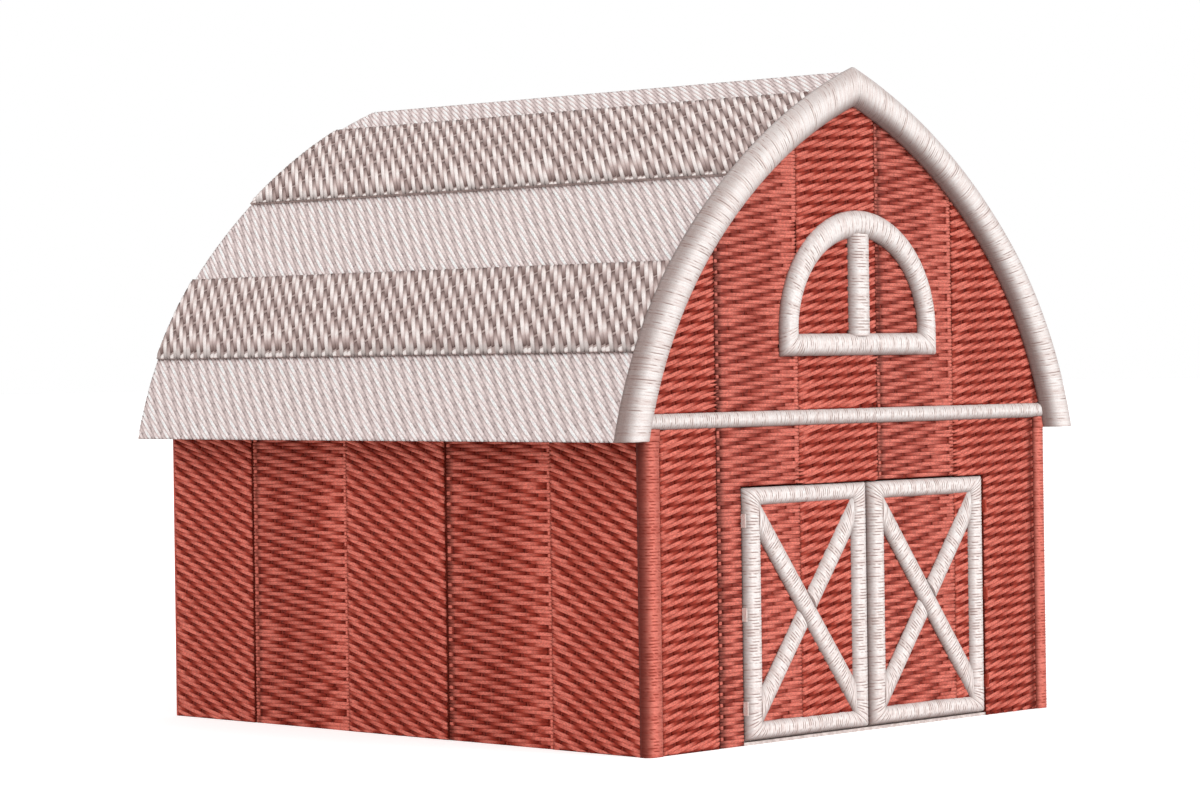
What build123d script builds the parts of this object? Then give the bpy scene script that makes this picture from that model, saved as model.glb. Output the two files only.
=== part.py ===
from build123d import *
import math
import os

# Red timber barn with a pointed-arch roof, in millimetres.
# +Z is up, the door gable faces -Y and the ridge runs along Y.
# The origin is on the ground, at the middle of the plan.

# ---------------------------------------------------------------- driving sizes

# Walls
wall_width = 6200  # across the gable, over the cladding
wall_length = 7000  # along the ridge, over the cladding
frame_depth = 160  # posts, plates, sills and studs
plank_skin = 35  # bays of slanting boards
lath_skin = 23  # bays of level boards, set back from the planks
front_bay = 1220  # spacing of the joints on the gables
front_first_joint = 1000  # from the left end of a gable to its first joint
side_bay = 1480  # spacing of the joints on the long walls
side_first_joint = 1270  # from the front of a long wall to its first joint
wide_joint = 20  # shadow gap on one side of each level bay
tight_joint = 6  # gap on its other side

# Roof
eave_height = 3000  # underside of the roof's foot
ridge_height = 6700  # top of the barge boards
eave_reach = 440  # foot of the barge boards outside the long walls
foot_slope = 77  # slope of the arch at its foot, in degrees
shoulder_slope = 48  # where its two radii meet
crown_slope = 21  # at the ridge
main_courses = 4  # equal in height, below the ridge course
ridge_course_rise = 300
roof_thick = 80  # courses 1, 3 and 5
course_step = 30  # how much thicker courses 2 and 4 are
barge_stand = 15  # barge boards above courses 2 and 4
ridge_joint = 1  # between the two halves of the roof
rake_reach = 15  # roof beyond the front gable's cladding
back_reach = 130  # and beyond the back gable's

# Barge boards
barge_foot = 460  # width at the foot
barge_crown = 400  # height at the ridge
barge_thick = 115
barge_round = 100

# Frame
post_width = 120
plate_depth = 130
sill_depth = 100
rail_depth = 100
rail_height = 1400
joist_depth = 200
joist_width = 80
joist_count = 7
rib_depth = 180
ridge_beam_width = 80
ridge_beam_depth = 240
loft_board = 30
deck_room = 32  # between the loft's boards and the feet of the ribs
soffit_board = 20
floor_thick = 30

# Corner posts and boards
corner_depth = 115
corner_stand = 25
corner_round = 85

# Belt across the gables
belt_height = 155
belt_rise = 105  # above the eaves
belt_stand = 45
belt_round = 36

# Doors
doors_shift = 150  # the pair stands this far right of the middle
leaf_width = 1875
leaf_height = 2470
leaf_core = 38
leaf_stand = 5  # the core's face in front of the frame's
door_gap = 14
trim_stand = 45  # white frame in front of the wall
stile_width = 270
rail_width = 180
trim_round = 42
brace_width = 225
brace_thick = 38
brace_round = 32
hinge_count = 3
hinge_margin = 320  # from the ends of a leaf to its end hinges
hinge_plate = 4
knuckle_radius = 10
knuckle_height = 44
knuckle_gap = 1
hinge_pin_radius = 5
hinge_play = 0.05

# Loft hatch
hatch_shift = 60
hatch_radius = 1215
hatch_trim = 275
hatch_stand = 75
hatch_lap = 115  # trim over the boards on each side
hatch_post_width = 330
hatch_sill_height = 225
hatch_leg = 250  # straight foot of the arch, from the underside of the sill
hatch_rise = 790  # underside of its sill above the eaves
hatch_round = 60
hatch_gap = 5
ledge_height = 120
ledge_thick = 50
ledge_rise = 365  # underside of the upper ledge, above the arch's centre

seat = 0.3  # gap between pieces that bear on each other along a curve
fit = 0.3  # gap between pieces of one node

# ---------------------------------------------------------------- derived places

half_width = wall_width / 2
half_length = wall_length / 2
frame_x = half_width - plank_skin  # outside of the frame, long walls
frame_y = half_length - plank_skin  # outside of the frame, gables
inner_x = frame_x - frame_depth
inner_y = frame_y - frame_depth
plate_bottom = eave_height + soffit_board - plate_depth
joist_bottom = eave_height + soffit_board
joist_top = joist_bottom + joist_depth

deep_inset = barge_stand  # top of courses 2 and 4, below the barge boards' edge
plain_inset = deep_inset + course_step  # top of courses 1, 3 and 5
lining_inset = plain_inset + roof_thick  # underside of the whole roof
front_end = -half_length - rake_reach
back_end = half_length + back_reach

corner_face = half_width + corner_stand - inner_x  # width of a corner post on the gable
post_back_y = half_length + corner_stand - corner_depth

door_bottom = floor_thick + door_gap
door_top = door_bottom + leaf_height
head_bottom = door_top + door_gap
opening_half = leaf_width + 1.5 * door_gap
opening_left = doors_shift - opening_half
opening_right = doors_shift + opening_half
core_front = frame_y + leaf_stand  # how far the leaf's core stands out from the middle of the plan
trim_front = half_length + trim_stand

hatch_bottom = eave_height + hatch_rise
hatch_spring = hatch_bottom + hatch_leg
hatch_seat = hatch_bottom + hatch_sill_height  # top of the sill
hatch_hole = hatch_radius - hatch_lap
hatch_hole_bottom = hatch_bottom + hatch_sill_height / 2


# ---------------------------------------------------------------- the pointed arch


class Arch:
    """Right half of a pointed arch drawn with two radii that meet at the shoulder.

    A point of it has the slope t of the curve there, and lies at centre + radius * (sin t, cos t).
    An inset is a parallel curve that much further in.
    """

    def __init__(self, half_span, foot, crown):
        foot_t, mid_t, crown_t = (math.radians(v) for v in (foot_slope, shoulder_slope, crown_slope))
        across_low = math.sin(foot_t) - math.sin(mid_t)
        across_high = math.sin(mid_t) - math.sin(crown_t)
        up_low = math.cos(mid_t) - math.cos(foot_t)
        up_high = math.cos(crown_t) - math.cos(mid_t)
        rise = crown - foot
        scale = across_low * up_high - across_high * up_low
        self.low_radius = (half_span * up_high - across_high * rise) / scale
        self.high_radius = (across_low * rise - up_low * half_span) / scale
        self.low_centre = (
            half_span - self.low_radius * math.sin(foot_t),
            foot - self.low_radius * math.cos(foot_t),
        )
        self.high_centre = (-self.high_radius * math.sin(crown_t), crown - self.high_radius * math.cos(crown_t))
        self.shoulder = mid_t

    def point(self, t, inset=0):
        """X and Z of the point with slope t."""
        low = t > self.shoulder
        centre = self.low_centre if low else self.high_centre
        radius = (self.low_radius if low else self.high_radius) - inset
        return centre[0] + radius * math.sin(t), centre[1] + radius * math.cos(t)

    def slope_at_height(self, z, inset=0):
        """Slope where the curve crosses a level."""
        t = math.acos((z - self.high_centre[1]) / (self.high_radius - inset))
        if t > self.shoulder:
            t = math.acos((z - self.low_centre[1]) / (self.low_radius - inset))
        return t

    def slope_at_side(self, x, inset=0):
        """Slope where the curve crosses an upright line near the ridge."""
        return math.asin((x - self.high_centre[0]) / (self.high_radius - inset))

    def curve(self, start, end, inset, y):
        """Arcs from slope start to slope end, in the upright plane at y."""
        turns = [start, end]
        if (start - self.shoulder) * (end - self.shoulder) < 0:
            turns.insert(1, self.shoulder)
        arcs = []
        for a, b in zip(turns, turns[1:]):
            middle = (a + b) / 2
            low = middle > self.shoulder
            centre = self.low_centre if low else self.high_centre
            radius = (self.low_radius if low else self.high_radius) - inset
            points = [(centre[0] + radius * math.sin(t), y, centre[1] + radius * math.cos(t)) for t in (a, middle, b)]
            arcs.append(ThreePointArc(*points))
        return arcs


roof = Arch(half_width + eave_reach, eave_height, ridge_height)
barge_edge = Arch(half_width + eave_reach - barge_foot, eave_height, ridge_height - barge_crown)


def strip(outer, inner, outer_slopes, inner_slopes, y, length):
    """Solid between two curves, each an (arch, inset) pair, extruded along Y."""
    (arch_a, inset_a), (arch_b, inset_b) = outer, inner
    rim = arch_a.curve(outer_slopes[0], outer_slopes[1], inset_a, y)
    lining = arch_b.curve(inner_slopes[1], inner_slopes[0], inset_b, y)
    top = Line(rim[-1] @ 1, lining[0] @ 0)
    foot = Line(lining[-1] @ 1, rim[0] @ 0)
    face = make_face(rim + [top] + lining + [foot])
    return extrude(face, amount=length, dir=(0, 1, 0))


def arch_prism(arch, inset, floor, y, length):
    """Everything under a pointed arch and above a level, right and left."""
    start = arch.slope_at_height(floor, inset)
    end = arch.slope_at_side(0, inset)
    side = arch.curve(start, end, inset, y)
    axis = Line(side[-1] @ 1, (0, y, floor))
    base = Line((0, y, floor), side[0] @ 0)
    half = extrude(make_face(side + [axis, base]), amount=length, dir=(0, 1, 0))
    return half + mirror(half, Plane.YZ)


def block(x0, x1, y0, y1, z0, z1):
    """Box between two corners."""
    box = Box(x1 - x0, y1 - y0, z1 - z0, align=(Align.MIN, Align.MIN, Align.MIN))
    return Pos(x0, y0, z0) * box


def both_sides(shape):
    return [shape, mirror(shape, Plane.YZ)]


def both_ends(shape):
    return [shape, mirror(shape, Plane.XZ)]


def split_solids(shape):
    return list(shape.solids())


# ---------------------------------------------------------------- roof


def course_limits():
    """Slopes of the square cuts between courses, from the eaves up."""
    rise = (ridge_height - ridge_course_rise - eave_height) / main_courses
    heights = [eave_height + rise * n for n in range(1, main_courses + 1)]
    return [roof.slope_at_height(z, plain_inset) for z in heights]


def roof_courses():
    """Courses of each side, of which every second one is thicker."""
    cuts = course_limits()
    courses = []
    for n in range(main_courses + 1):
        top = deep_inset if n % 2 else plain_inset
        if n == 0:
            starts = [roof.slope_at_height(eave_height, inset) for inset in (top, lining_inset)]
        else:
            starts = [cuts[n - 1]] * 2
        if n == main_courses:
            ends = [roof.slope_at_side(ridge_joint / 2, inset) for inset in (top, lining_inset)]
        else:
            ends = [cuts[n]] * 2
        length = back_end - front_end
        half = strip((roof, top), (roof, lining_inset), (starts[0], ends[0]), (starts[1], ends[1]), front_end, length)
        courses.append(both_sides(half))
    return courses


def roof_ribs():
    """Bowed rafters that stand on the joists' ends and lean on the ridge beam."""
    outer = lining_inset + seat
    inner = outer + rib_depth
    ribs = []
    for y in joist_places():
        slopes = [
            (roof.slope_at_height(joist_top, inset), roof.slope_at_side(ridge_beam_width / 2, inset))
            for inset in (outer, inner)
        ]
        rib = strip((roof, outer), (roof, inner), slopes[0], slopes[1], y - joist_width / 2, joist_width)
        ribs += both_sides(rib)
    return ribs


def ridge_beam():
    """Beam under the crown, between the gables."""
    half = ridge_beam_width / 2
    edge = roof.point(roof.slope_at_side(half, lining_inset + seat), lining_inset + seat)[1]
    return block(-half, half, -inner_y, inner_y, edge - ridge_beam_depth, edge)


def front_barge():
    """Right half of the front gable's trim, over the roof's end, wider at the foot and rounded in front."""
    outer = (roof.slope_at_height(eave_height), roof.slope_at_side(0))
    inner = (barge_edge.slope_at_height(eave_height), barge_edge.slope_at_side(0))
    board = strip((roof, 0), (barge_edge, 0), outer, inner, front_end - barge_thick, barge_thick)
    front = board.faces().sort_by(Axis.Y)[0]
    return fillet(front.edges().filter_by(GeomType.CIRCLE), barge_round)


def back_barge():
    """Right half of the back gable's trim, plain and tucked under the roof."""
    under = lining_inset + seat
    outer = (roof.slope_at_height(eave_height, under), roof.slope_at_side(0, under))
    inner = (barge_edge.slope_at_height(eave_height), barge_edge.slope_at_side(0))
    return strip((roof, under), (barge_edge, 0), outer, inner, back_end - barge_thick, barge_thick)


def lining_reach(height):
    """How far timbers under the roof may reach from the middle at a level."""
    return roof.point(roof.slope_at_height(height, lining_inset), lining_inset)[0] - seat


def eave_soffits():
    """Boards that close the underside of each eave, notched round the gables' cladding."""
    reach = lining_reach(joist_bottom)
    soffit = block(frame_x, reach, -frame_y, frame_y, eave_height, joist_bottom)
    soffit += block(half_width, reach, front_end, back_end - barge_thick, eave_height, joist_bottom)
    return both_sides(soffit)


# ---------------------------------------------------------------- frame and floors


def joist_places():
    """Centres of the joists along Y, with one against each gable's studs."""
    last = inner_y - joist_width
    return [-last + 2 * last * n / (joist_count - 1) for n in range(joist_count)]


def loft_joists():
    reach = lining_reach(joist_top)
    return [
        block(-reach, reach, y - joist_width / 2, y + joist_width / 2, joist_bottom, joist_top) for y in joist_places()
    ]


def loft_deck():
    rib_foot = roof.point(roof.slope_at_height(joist_top, lining_inset + rib_depth), lining_inset + rib_depth)[0]
    edge = rib_foot - deck_room
    return block(-edge, edge, -inner_y, inner_y, joist_top, joist_top + loft_board)


def side_joints():
    """Centres of the joints between bays on a long wall, along Y."""
    return [-half_length + side_first_joint + side_bay * n for n in range(4)]


def front_joints():
    """Centres of the joints between bays on a gable, along X."""
    return [-half_width + front_first_joint + front_bay * n for n in range(4)]


def sill_beams():
    """Timbers on the ground under the posts."""
    sides = both_sides(block(inner_x, frame_x, -post_back_y, frame_y, 0, sill_depth))
    back = block(-inner_x + fit, inner_x - fit, inner_y, frame_y, 0, sill_depth)
    front_left = block(-inner_x + fit, opening_left, -frame_y, -inner_y, 0, sill_depth)
    front_right = block(opening_right, inner_x - fit, -frame_y, -inner_y, 0, sill_depth)
    return sides + [back, front_left, front_right]


def side_posts():
    """Posts of the two long walls, at the joints and at both ends."""
    half = post_width / 2
    places = [-post_back_y + half] + side_joints() + [frame_y - half]
    posts = []
    for y in places:
        posts += both_sides(block(inner_x, frame_x, y - half, y + half, sill_depth, plate_bottom))
    return posts


def side_rails():
    """Short rails between the posts of the long walls."""
    half = post_width / 2
    places = [-post_back_y + half] + side_joints() + [frame_y - half]
    low, high = rail_height - rail_depth / 2, rail_height + rail_depth / 2
    rails = []
    for a, b in zip(places, places[1:]):
        rails += both_sides(block(inner_x, frame_x, a + half, b - half, low, high))
    return rails


def back_posts():
    half = post_width / 2
    return [block(x - half, x + half, inner_y, frame_y, sill_depth, plate_bottom) for x in front_joints()]


def back_rails():
    half = post_width / 2
    edges = [-inner_x - half] + front_joints() + [inner_x + half]
    low, high = rail_height - rail_depth / 2, rail_height + rail_depth / 2
    return [block(a + half, b - half, inner_y, frame_y, low, high) for a, b in zip(edges, edges[1:])]


def wall_plates():
    """Beams on top of the long walls, under the joists."""
    return both_sides(block(inner_x, frame_x, -post_back_y, frame_y, plate_bottom, joist_bottom))


def gable_plates():
    return both_ends(block(-inner_x + fit, inner_x - fit, -frame_y, -inner_y, plate_bottom, joist_bottom))


def door_posts():
    left = block(opening_left - post_width, opening_left, -frame_y, -inner_y, sill_depth, plate_bottom)
    right = block(opening_right, opening_right + post_width, -frame_y, -inner_y, sill_depth, plate_bottom)
    return [left, right]


def front_corner_studs():
    """Studs that close the front wall against its corner posts."""
    return both_sides(block(inner_x - post_width, inner_x, -frame_y, -inner_y, sill_depth, plate_bottom))


def door_head():
    """Deep beam over the doors, up to the gable's plate."""
    return block(opening_left, opening_right, -frame_y, -inner_y, head_bottom, plate_bottom)


def door_threshold():
    """Low beam under the doors."""
    return block(opening_left, opening_right, -half_length, -inner_y, 0, floor_thick)


def ground_floor():
    return block(-inner_x, inner_x, -inner_y, inner_y, 0, floor_thick)


def gable_studs():
    """Studs from the gable plates up to the roof, beside the hatch on the front gable."""
    half = post_width / 2
    jambs = [hatch_shift - hatch_hole - half, hatch_shift + hatch_hole + half]
    front_places = [front_joints()[0], *jambs, wall_width / 2 - front_first_joint]
    studs = []
    for end, places in ((-1, front_places), (1, front_joints())):
        y0, y1 = sorted((end * frame_y, end * inner_y))
        space = arch_prism(roof, lining_inset + seat, joist_bottom, y0, y1 - y0)
        for x in places:
            studs += split_solids(space & block(x - half, x + half, y0, y1, joist_bottom, ridge_height))
    return studs


# ---------------------------------------------------------------- cladding


def skin_of(n):
    """Bays alternate: slanting planks, then level laths."""
    return lath_skin if n % 2 else plank_skin


def bay_spans(start, joints, end):
    """Start and end of each bay, with the wide gap at the start of each level bay."""
    edges = [start] + list(joints) + [end]
    spans = []
    for n, (a, b) in enumerate(zip(edges, edges[1:])):
        low = a if n == 0 else a + (wide_joint if n % 2 else tight_joint) / 2
        high = b if n == len(edges) - 2 else b - (tight_joint if n % 2 else wide_joint) / 2
        spans.append((low, high))
    return spans


def side_cladding():
    """Bays of the long walls, from back to front, with the wide joint at the back of each level bay."""
    back_to_front = [-y for y in reversed(side_joints())]
    spans = bay_spans(-half_length, back_to_front, post_back_y)
    bays = []
    for n, (a, b) in enumerate(spans):
        bays += both_sides(block(-frame_x - skin_of(n), -frame_x, -b, -a, 0, eave_height))
    return bays


def hatch_shape(radius, bottom, y0, y1):
    """Half-round opening on a short straight foot."""
    disc = Pos(hatch_shift, (y0 + y1) / 2, hatch_spring) * Rot(90, 0, 0) * Cylinder(radius, y1 - y0)
    upper = disc & block(-wall_width, wall_width, y0, y1, hatch_spring, ridge_height)
    return upper + block(hatch_shift - radius, hatch_shift + radius, y0, y1, bottom, hatch_spring)


def gable_bays(end):
    """Bays of one gable, from the ground to the roof. End is -1 for the front."""
    bays = []
    spans = bay_spans(-half_width, front_joints(), half_width)
    for n, (a, b) in enumerate(spans):
        y0, y1 = sorted((end * frame_y, end * (frame_y + skin_of(n))))
        upper = arch_prism(roof, lining_inset + seat, eave_height, y0, y1 - y0)
        upper = upper & block(a, b, y0, y1, eave_height, ridge_height)
        limit = inner_x if end < 0 else frame_x
        low, high = max(a, -limit), min(b, limit)
        bays.append((n, y0, y1, upper + block(low, high, y0, y1, 0, eave_height)))
    return bays


def front_cladding():
    """The front gable's bays beside the doors, and over them round the hatch."""
    beside, over = [], []
    for _, y0, y1, bay in gable_bays(-1):
        bay -= hatch_shape(hatch_hole, hatch_hole_bottom, y0, y1)
        zones = (
            (beside, block(-half_width, opening_left, y0, y1, 0, ridge_height)),
            (beside, block(opening_right, half_width, y0, y1, 0, ridge_height)),
            (over, block(opening_left + fit, opening_right - fit, y0, y1, head_bottom, ridge_height)),
        )
        for pieces, zone in zones:
            pieces += split_solids(bay & zone)
    return beside, over


def back_cladding():
    return [solid for _, _, _, bay in gable_bays(1) for solid in split_solids(bay)]


def front_corner_posts():
    """Red posts at the front corners, round on the outside, with a tongue up to the belt beside the barge boards."""
    x0, x1 = inner_x, half_width + corner_stand
    y0, y1 = -half_length - corner_stand, -post_back_y
    post = block(x0, x1, y0, y1, 0, eave_height)
    outer = post.edges().filter_by(Axis.Z).group_by(Axis.Y)[0].sort_by(Axis.X)[-1]
    beside_barge = arch_prism(barge_edge, seat, eave_height, y0, corner_stand)
    tongue = beside_barge & block(x0, x1, y0, -half_length, eave_height, eave_height + belt_rise)
    return both_sides(fillet(outer, corner_round) + tongue)


def back_corner_boards():
    x1 = half_width
    return both_sides(block(x1 - corner_face, x1, half_length, half_length + corner_stand, 0, eave_height))


def gable_belts():
    """White rail across each gable, between the barge boards."""
    y0, y1 = -half_length - belt_stand, -half_length
    low = eave_height + belt_rise
    space = arch_prism(barge_edge, seat, eave_height, y0, y1 - y0)
    belt = space & block(-wall_width, wall_width, y0, y1, low, low + belt_height)
    front = belt.faces().sort_by(Axis.Y)[0]
    return both_ends(fillet(front.edges().filter_by(Axis.X), belt_round))


# ---------------------------------------------------------------- loft hatch


def hatch_boards():
    """Boarding that closes the hatch, in line with the bays round it."""
    joint = front_joints()[2]
    radius, bottom = hatch_hole - hatch_gap, hatch_hole_bottom + hatch_gap
    pieces = []
    for skin, x0, x1 in (
        (plank_skin, -half_width, hatch_shift - hatch_gap / 2),
        (plank_skin, hatch_shift + hatch_gap / 2, joint - wide_joint / 2),
        (lath_skin, joint + wide_joint / 2, half_width),
    ):
        y0, y1 = -frame_y - skin, -frame_y
        shape = hatch_shape(radius, bottom, y0, y1) & block(x0, x1, y0, y1, 0, ridge_height)
        pieces += split_solids(shape)
    return pieces


def hatch_ledges():
    """Battens behind the hatch's boards, between the studs on each side of it."""
    y0, y1 = -frame_y, -frame_y + ledge_thick
    low = hatch_hole_bottom + ledge_height
    high = hatch_spring + ledge_rise
    return [
        block(hatch_shift - hatch_hole, hatch_shift + hatch_hole, y0, y1, z, z + ledge_height) for z in (low, high)
    ]


def hatch_arch():
    """Half-round trim with short legs over the edge of the opening, with rounded front edges."""
    y0, y1 = -half_length - hatch_stand, -half_length
    inside = hatch_shape(hatch_radius - hatch_trim, hatch_seat, y0, y1)
    trim = hatch_shape(hatch_radius, hatch_seat, y0, y1) - inside
    front = trim.faces().sort_by(Axis.Y)[0]
    feet = front.edges().group_by(Axis.Z)[0]
    return fillet([edge for edge in front.edges() if edge not in feet], hatch_round)


def hatch_sill():
    y0, y1 = -half_length - hatch_stand, -half_length
    sill = block(hatch_shift - hatch_radius, hatch_shift + hatch_radius, y0, y1, hatch_bottom, hatch_seat)
    front = sill.faces().sort_by(Axis.Y)[0]
    return fillet(front.edges().filter_by(Axis.X), hatch_round)


def hatch_post():
    """Upright between the sill and the crown of the arch."""
    y0, y1 = -half_length - hatch_stand, -half_length
    half = hatch_post_width / 2
    inside = hatch_shape(hatch_radius - hatch_trim - seat, hatch_seat, y0, y1)
    post = inside & block(hatch_shift - half, hatch_shift + half, y0, y1, hatch_seat, ridge_height)
    front = post.faces().sort_by(Axis.Y)[0]
    return fillet(front.edges().filter_by(Axis.Z), hatch_round)


# ---------------------------------------------------------------- doors


def leaf_span(side):
    """X from the heel to the meeting edge of a leaf. Side is -1 for the left leaf."""
    if side < 0:
        return opening_left + door_gap, opening_left + door_gap + leaf_width
    return opening_right - door_gap - leaf_width, opening_right - door_gap


def door_core(side):
    """Boarded leaf behind the trim."""
    x0, x1 = leaf_span(side)
    return block(x0, x1, -core_front, -core_front + leaf_core, door_bottom, door_top)


def door_panel_span(side):
    """Inside of a leaf's white frame: X and Z limits."""
    x0, x1 = leaf_span(side)
    return x0 + stile_width, x1 - stile_width, door_bottom + rail_width, door_top - rail_width


def door_boards(side):
    """Red boarding in the frame, level then slanting as on the wall round it."""
    x0, x1, z0, z1 = door_panel_span(side)
    joint = front_joints()[1 if side < 0 else 3]
    level = block(x0 + fit, joint - tight_joint / 2, -frame_y - lath_skin, -core_front, z0 + fit, z1 - fit)
    slant = block(joint + tight_joint / 2, x1 - fit, -frame_y - plank_skin, -core_front, z0 + fit, z1 - fit)
    return [level, slant]


def door_frame(side):
    """White stiles and rails on the front of the leaf, with rounded front edges."""
    x0, x1, z0, z1 = door_panel_span(side)
    left, right = leaf_span(side)
    y0, y1 = -trim_front, -core_front
    pieces = []
    for a, b in ((left, x0), (x1, right)):
        stile = block(a, b, y0, y1, door_bottom, door_top)
        front = stile.faces().sort_by(Axis.Y)[0]
        pieces.append(fillet(front.edges().filter_by(Axis.Z), trim_round))
    for low, high in ((door_bottom, z0), (z1, door_top)):
        rail = block(x0 + fit, x1 - fit, y0, y1, low, high)
        front = rail.faces().sort_by(Axis.Y)[0]
        pieces.append(fillet(front.edges().filter_by(Axis.X), trim_round))
    return pieces


def diagonal(side, rising, width):
    """Board across a leaf's panel, as a long slab before it is trimmed.

    Its upper edge starts in one corner of the panel and its lower edge ends in the opposite one.
    """
    x0, x1, z0, z1 = door_panel_span(side)
    run, rise = x1 - x0, z1 - z0
    across = math.hypot(run, rise)
    angle = math.degrees(math.atan2(rise, run) - math.asin(brace_width / across)) * (1 if rising else -1)
    slab = Box(2 * across, brace_thick, width)
    middle_y = -half_length - brace_thick / 2
    return Pos((x0 + x1) / 2, middle_y, (z0 + z1) / 2) * Rot(0, -angle, 0) * slab


def door_braces(side):
    """Crossed braces: the falling one is whole, and the rising one is in two halves beside it."""
    x0, x1, z0, z1 = door_panel_span(side)
    room = block(x0 + fit, x1 - fit, -half_length - brace_thick, -half_length, z0 + fit, z1 - fit)
    whole = room & diagonal(side, False, brace_width)
    halves = (room & diagonal(side, True, brace_width)) - diagonal(side, False, brace_width + 2 * fit)
    pieces = []
    for solid in split_solids(whole) + split_solids(halves):
        front = solid.faces().sort_by(Axis.Y)[0]
        longest = front.edges().sort_by(SortBy.LENGTH)[-2:]
        pieces.append(solid.fillet(brace_round, longest))
    return pieces


def hinge_axis(side):
    """X of a leaf's hinge line, in the middle of the joint beside the door post."""
    return opening_left + door_gap / 2 if side < 0 else opening_right - door_gap / 2


def hinge_heights():
    low, high = door_bottom + hinge_margin, door_top - hinge_margin
    return [low + (high - low) * n / (hinge_count - 1) for n in range(hinge_count)]


def knuckle(side, z, height, bore):
    """Barrel round the hinge line, with its middle at height z."""
    barrel = Cylinder(knuckle_radius, height)
    if bore:
        barrel -= Cylinder(hinge_pin_radius + hinge_play, height)
    return Pos(hinge_axis(side), -trim_front, z) * barrel


def hinge_strap(side, towards, z, height):
    """Plate in the joint, on the door post (towards -1) or on the edge of the leaf (towards 1)."""
    edge = side * (door_gap / 2)  # from the hinge line to the door post
    outer = hinge_axis(side) + edge * -towards
    inner = outer - edge / abs(edge) * -towards * hinge_plate
    x0, x1 = sorted((outer, inner))
    return block(x0, x1, -trim_front, -core_front + leaf_core, z - height / 2, z + height / 2)


def leaf_hinges(side):
    """Middle knuckles, each on a plate let on to the edge of the leaf."""
    hinges = []
    for z in hinge_heights():
        plate = hinge_strap(side, 1, z, knuckle_height)
        plate -= Pos(hinge_axis(side), -trim_front, z) * Cylinder(hinge_pin_radius + hinge_play, knuckle_height)
        hinges.append(knuckle(side, z, knuckle_height, True) + plate)
    return hinges


def post_hinges(side):
    """Outer knuckles with the pin between them, on a plate on the door post."""
    hinges = []
    reach = knuckle_height + knuckle_gap
    for z in hinge_heights():
        pin = Pos(hinge_axis(side), -trim_front, z) * Cylinder(hinge_pin_radius, 3 * knuckle_height)
        plate = hinge_strap(side, -1, z, 3 * knuckle_height + 2 * knuckle_gap)
        room = Pos(hinge_axis(side), -trim_front, z) * Cylinder(knuckle_radius + knuckle_gap, reach + knuckle_gap)
        hinge = plate - room
        for offset in (-reach, reach):
            hinge += knuckle(side, z + offset, knuckle_height, False)
        hinges.append(hinge + pin)
    return hinges


# ---------------------------------------------------------------- writing the parts

beside_doors, over_doors = front_cladding()

parts = {
    "ground_floor": [ground_floor()],
    "door_threshold": [door_threshold()],
    "sill_beams": sill_beams(),
    "wall_posts": side_posts() + back_posts() + door_posts(),
    "wall_rails": side_rails() + back_rails(),
    "front_corner_studs": front_corner_studs(),
    "door_head": [door_head()],
    "wall_plates": wall_plates() + gable_plates(),
    "gable_studs": gable_studs(),
    "loft_joists": loft_joists(),
    "loft_deck": [loft_deck()],
    "roof_ribs": roof_ribs(),
    "ridge_beam": [ridge_beam()],
    "eave_soffits": eave_soffits(),
    "side_wall_cladding": side_cladding(),
    "front_lower_cladding": beside_doors,
    "front_upper_cladding": over_doors,
    "back_wall_cladding": back_cladding(),
    "front_corner_posts": front_corner_posts(),
    "back_corner_boards": back_corner_boards(),
    "gable_belts": gable_belts(),
    "hatch_boards": hatch_boards(),
    "hatch_ledges": hatch_ledges(),
    "hatch_arch": [hatch_arch()],
    "hatch_sill": [hatch_sill()],
    "hatch_post": [hatch_post()],
    "door_post_hinges": post_hinges(-1) + post_hinges(1),
}

for number, halves in enumerate(roof_courses(), start=1):
    parts[f"roof_course_{number}"] = halves

for end, board in (("front", front_barge()), ("back", back_barge())):
    parts[f"{end}_barge_right"] = [board]
    parts[f"{end}_barge_left"] = [mirror(board, Plane.YZ)]

for name, side in (("left", -1), ("right", 1)):
    parts[f"{name}_door_core"] = [door_core(side)]
    parts[f"{name}_door_boards"] = door_boards(side)
    parts[f"{name}_door_frame"] = door_frame(side)
    parts[f"{name}_door_braces"] = door_braces(side)
    parts[f"{name}_door_hinges"] = leaf_hinges(side)

os.makedirs("parts", exist_ok=True)
for name, solids in parts.items():
    whole = [solid for shape in solids for solid in shape.solids()]
    export_step(Compound(children=whole) if len(whole) > 1 else whole[0], f"parts/{name}.step")
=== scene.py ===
import bpy
import numpy as np
from mathutils import Matrix, Vector


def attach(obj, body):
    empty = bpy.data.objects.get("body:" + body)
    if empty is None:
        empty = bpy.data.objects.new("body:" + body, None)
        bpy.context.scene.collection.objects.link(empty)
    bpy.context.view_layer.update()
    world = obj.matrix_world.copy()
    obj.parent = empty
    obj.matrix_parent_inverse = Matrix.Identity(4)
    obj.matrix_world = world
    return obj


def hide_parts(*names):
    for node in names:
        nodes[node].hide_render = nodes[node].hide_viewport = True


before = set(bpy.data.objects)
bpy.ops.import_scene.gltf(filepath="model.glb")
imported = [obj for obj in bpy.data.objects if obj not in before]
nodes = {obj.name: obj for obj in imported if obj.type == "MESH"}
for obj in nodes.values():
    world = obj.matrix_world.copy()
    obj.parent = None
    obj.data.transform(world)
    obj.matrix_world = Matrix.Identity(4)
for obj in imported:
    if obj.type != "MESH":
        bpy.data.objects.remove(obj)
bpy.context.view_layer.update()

# ------------------------ timber frame
# Squared softwood sills, posts, rails, plates, joists and studs, pegged together, with bowed
# rafters standing on the joists' ends. Sawn faces, browned with age.


def tint(red, green, blue):
    """Paint-chart numbers from 0 to 255 as the light that they stand for: ((c + 0.055) / 1.055) ** 2.4."""
    chart = np.array((red, green, blue)) / 255
    return (*np.where(chart > 0.04, ((chart + 0.055) / 1.055) ** 2.4, chart / 12.92), 1.0)


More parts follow.
